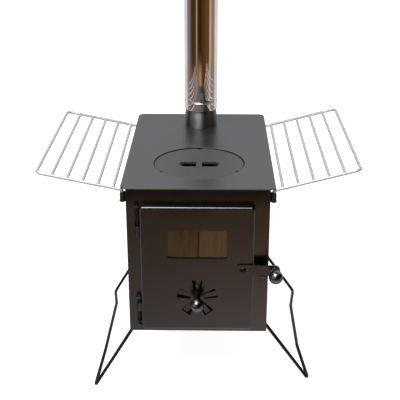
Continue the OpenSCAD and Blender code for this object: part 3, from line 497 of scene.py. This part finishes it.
def mirrored_room(t):
    """What gloss sees in each direction: brown ground in front with pale sides, a warm low
    patch beyond it, a dim room above with one bright upright panel, a pale backdrop behind."""
    generated = add(t, "TexCoord").outputs["Generated"]
    way = add(t, "SeparateXYZ", links={0: generated})
    back = add(t, "Math", TIMES, {0: way.outputs[1], 1: -1.0})
    # turn and rise are angles: 0 is the camera's side and eye level
    turn = add(t, "Math", {"operation": "ARCTAN2"}, {0: way.outputs[0], 1: back})
    rise = add(t, "Math", {"operation": "ARCSINE"}, {0: way.outputs[2]})
    aside = add(t, "Math", {"operation": "ABSOLUTE"}, {0: turn})
    # the same two as ramp factors from 0 to 1
    az = add(t, "Math", TIMES_PLUS, {0: turn, 1: 1 / (2 * pi), 2: 0.5})
    tilt = add(t, "Math", TIMES_PLUS, {0: way.outputs[2], 1: 0.5, 2: 0.5})

    # far off, just below eye level
    far = add(t, "ValToRGB", links={"Fac": az}, stops=round_to([
        (-130, "#f0ecf4"), (-112, "#e4e0e8"), (-103, "#948884"), (-84, "#8c7c74"),
        (-67, "#4c3828"), (-40, "#4c341c"), (-33, "#806850"), (-29, "#c8b494"),
        (-25, "#806850"), (-18, "#382814"), (0, "#342414"), (8, "#503418"), (30, "#5c4020"),
        (40, "#704c30"), (52, "#5c3c20"), (59, "#806850"), (65, "#dcc8ac"), (74, "#b09c88"),
        (86, "#948070"), (104, "#9c948c"), (114, "#e8e4f0")]))
    # a warm mottled patch below that
    patch = add(t, "ValToRGB", links={"Fac": az}, stops=round_to([
        (-112, "#e4e0e8"), (-103, "#948884"), (-84, "#8c786c"), (-60, "#705848"),
        (-38, "#68543c"), (-24, "#947450"), (-8, "#c09870"), (2, "#b08860"), (9, "#705034"),
        (20, "#503418"), (34, "#6c4828"), (50, "#846c50"), (64, "#d4c0a8"), (80, "#8c7864"),
        (102, "#a09890"), (114, "#e8e4f0")]))
    mottle = add(t, "TexNoise", links={"Vector": generated, "Scale": 26.0, "Detail": 3})
    mottle = add(t, "MapRange", links={"Value": mottle, 1: 0.35, 2: 0.65, 3: 0.78, 4: 1.2})
    patch = add(t, "Mix", MULTIPLY, {0: 1.0, 6: patch, 7: mottle})
    below = add(t, "MapRange", links={
        "Value": rise, 1: radians(-14.6), 2: radians(-13.8), 3: 1.0, 4: 0.0})
    low = add(t, "Mix", MIX, {0: below, 6: far, 7: patch})

    # the ground, paler towards the stove; its right half is paler than its left half
    ground = add(t, "ValToRGB", links={"Fac": tilt}, stops=up_to([
        (-48, "#e8e0e8"), (-33, "#c8c4cc"), (-31, "#c0b4b8"), (-30, "#bca098"),
        (-28.4, "#ac8870"), (-25.8, "#a07c58"), (-23.7, "#886848"), (-22.9, "#644c30"),
        (-22.3, "#2c2014"), (-21, "#0c0808")]))
    halves = add(t, "MapRange", links={
        "Value": turn, 1: radians(-1.1), 2: radians(-0.8), 3: 0.86, 4: 1.2})
    seam = add(t, "Math", NEAR_TO, {0: turn, 1: radians(-0.98), 2: radians(0.05)})
    streaks = add(t, "CombineXYZ", links={
        0: add(t, "Math", TIMES, {0: turn, 1: 290.0}),
        1: add(t, "Math", TIMES, {0: rise, 1: 24.0})})
    streaks = add(t, "TexNoise", links={
        "Vector": streaks, "Scale": 1.0, "Detail": 3, "Roughness": 0.6})
    streaks = add(t, "MapRange", links={"Value": streaks, 1: 0.3, 2: 0.7, 3: 0.68, 4: 1.32})
    tone = add(t, "Math", TIMES_PLUS, {0: seam, 1: -0.8, 2: halves})
    tone = add(t, "Math", TIMES, {0: tone, 1: streaks})
    ground = add(t, "Mix", MULTIPLY, {0: 1.0, 6: ground, 7: tone})
    sides = add(t, "MapRange", links={
        "Value": aside, 1: radians(48), 2: radians(58), 3: 0.0, 4: 1.0})
    ground = add(t, "Mix", MIX, {0: sides, 6: ground, 7: "#c8c4d0"})
    near = add(t, "MapRange", links={
        "Value": rise, 1: radians(-20.5), 2: radians(-19), 3: 1.0, 4: 0.0})
    low = add(t, "Mix", MIX, {0: near, 6: low, 7: ground})

    # above eye level: dim just over the ground, with the bright panel left of the middle
    high = add(t, "ValToRGB", links={"Fac": az}, stops=round_to([
        (-116, "#2c282c"), (-98, "#2c282c"), (-84, "#8c888c"), (-66, "#f4f0f4"),
        (-36, "#ffffff"), (-8, "#c8c4c0"), (16, "#b4b0b0"), (22, "#787874"), (31, "#3c3838"),
        (50, "#0c0c0c"), (68, "#0c0c0c"), (78, "#4c4840"), (92, "#1c1818"), (105, "#3c383c")]))
    panel = add(t, "Math", NEAR_TO, {0: turn, 1: radians(-21.5), 2: radians(12.4)})
    gain = add(t, "MapRange", links={
        "Value": rise, 1: radians(48), 2: radians(56), 3: 2.8, 4: 0.0})
    panel = add(t, "Math", TIMES_PLUS, {0: panel, 1: gain, 2: 1.0})
    dusk = add(t, "MapRange", links={
        "Value": rise, 1: radians(28), 2: radians(40), 3: 0.15, 4: 1.4})
    facing = add(t, "MapRange", links={
        "Value": turn, 1: radians(-42), 2: radians(-34), 3: 0.0, 4: 1.0})
    dusk = add(t, "Mix", {"data_type": "FLOAT"}, {0: facing, 2: 1.0, 3: dusk})
    high = add(t, "Mix", MULTIPLY, {
        0: 1.0, 6: high, 7: add(t, "Math", TIMES, {0: panel, 1: dusk})})

    # pale backdrop behind the stove, lighter higher up
    backdrop = add(t, "ValToRGB", links={"Fac": tilt}, stops=up_to([
        (8, "#848890"), (16, "#94989c"), (20, "#bcc0c8"), (24, "#fcfcff"), (30, "#ffffff")]))
    backdrop = add(t, "Mix", MULTIPLY, {0: 1.0, 6: backdrop, 7: (1.3, 1.3, 1.3, 1)})
    behind = add(t, "MapRange", links={
        "Value": aside, 1: radians(116), 2: radians(125), 3: 0.0, 4: 1.0})
    high = add(t, "Mix", MIX, {0: behind, 6: high, 7: backdrop})
    top = add(t, "MapRange", links={
        "Value": rise, 1: radians(45), 2: radians(62), 3: 0.0, 4: 1.0})
    ceiling = add(t, "Mix", MIX, {0: behind, 6: "#b4aca4", 7: "#1c1818"})
    high = add(t, "Mix", MIX, {0: top, 6: high, 7: ceiling})

    level = add(t, "MapRange", links={
        "Value": rise, 1: radians(-6), 2: radians(2), 3: 0.0, 4: 1.0})
    return add(t, "Mix", MIX, {0: level, 6: low, 7: high})


def studio_world():
    """White to the eye, an even white light, and for gloss the room that the stove mirrors."""
    w = bpy.data.worlds.new("studio")
    w.use_nodes = True
    scene.world = w
    t = w.node_tree
    t.nodes.clear()
    path = add(t, "LightPath")
    shiny = add(t, "Math", {"operation": "MAXIMUM"}, {
        0: path.outputs["Is Glossy Ray"], 1: path.outputs["Is Transmission Ray"]})
    soft = add(t, "Background", links={"Color": "#fbfaff", "Strength": 0.28})
    seen = add(t, "Background", links={"Color": WHITE, "Strength": 1.0})
    mirrored = add(t, "Background", links={"Color": mirrored_room(t), "Strength": 1.0})
    unseen = add(t, "MixShader", links={0: shiny, 1: soft, 2: mirrored})
    add(t, "OutputWorld", links={0: add(t, "MixShader", links={
        0: path.outputs["Is Camera Ray"], 1: unseen, 2: seen})})


FLOOR_HALF, FLOOR_GLOW = 6, 0.86    # metres, and what the paper adds so that it stays white


def floor():
    """Pale paper floor: white to the eye, keeps the stove's soft shadow."""
    bm = bmesh.new()
    bmesh.ops.create_grid(bm, x_segments=1, y_segments=1, size=FLOOR_HALF)
    me = bpy.data.meshes.new("floor")
    bm.to_mesh(me)
    bm.free()
    o = bpy.data.objects.new("floor", me)
    scene.collection.objects.link(o)
    m, t, p, _ = start("floor_paper")
    glow = add(t, "Math", TIMES, {0: add(t, "LightPath").outputs["Is Camera Ray"], 1: FLOOR_GLOW})
    plug(t, p, {"Base Color": "#f4f4f4", "Roughness": 0.9, "Specular IOR Level": 0.1,
                "Emission Strength": glow, "Emission Color": WHITE})
    me.materials.append(m)
    # gloss looks past the paper to the ground that the world shows
    o.visible_glossy = False


def softbox(name, at, target, side, radiance):
    """An even square lamp, given by how bright its face looks; 1 is white."""
    d = bpy.data.lights.new(name, "AREA")
    d.shape, d.size, d.size_y = "RECTANGLE", side, side
    d.energy = 4 * radiance * side * side
    o = bpy.data.objects.new(name, d)
    scene.collection.objects.link(o)
    o.location = at
    o.rotation_euler = (Vector(target) - Vector(at)).to_track_quat("-Z", "Y").to_euler()


studio_world()
floor()
softbox("roof_light", (-0.45, -0.85, 2.1), (0, -0.15, 0.3), side=1.45, radiance=5.2)
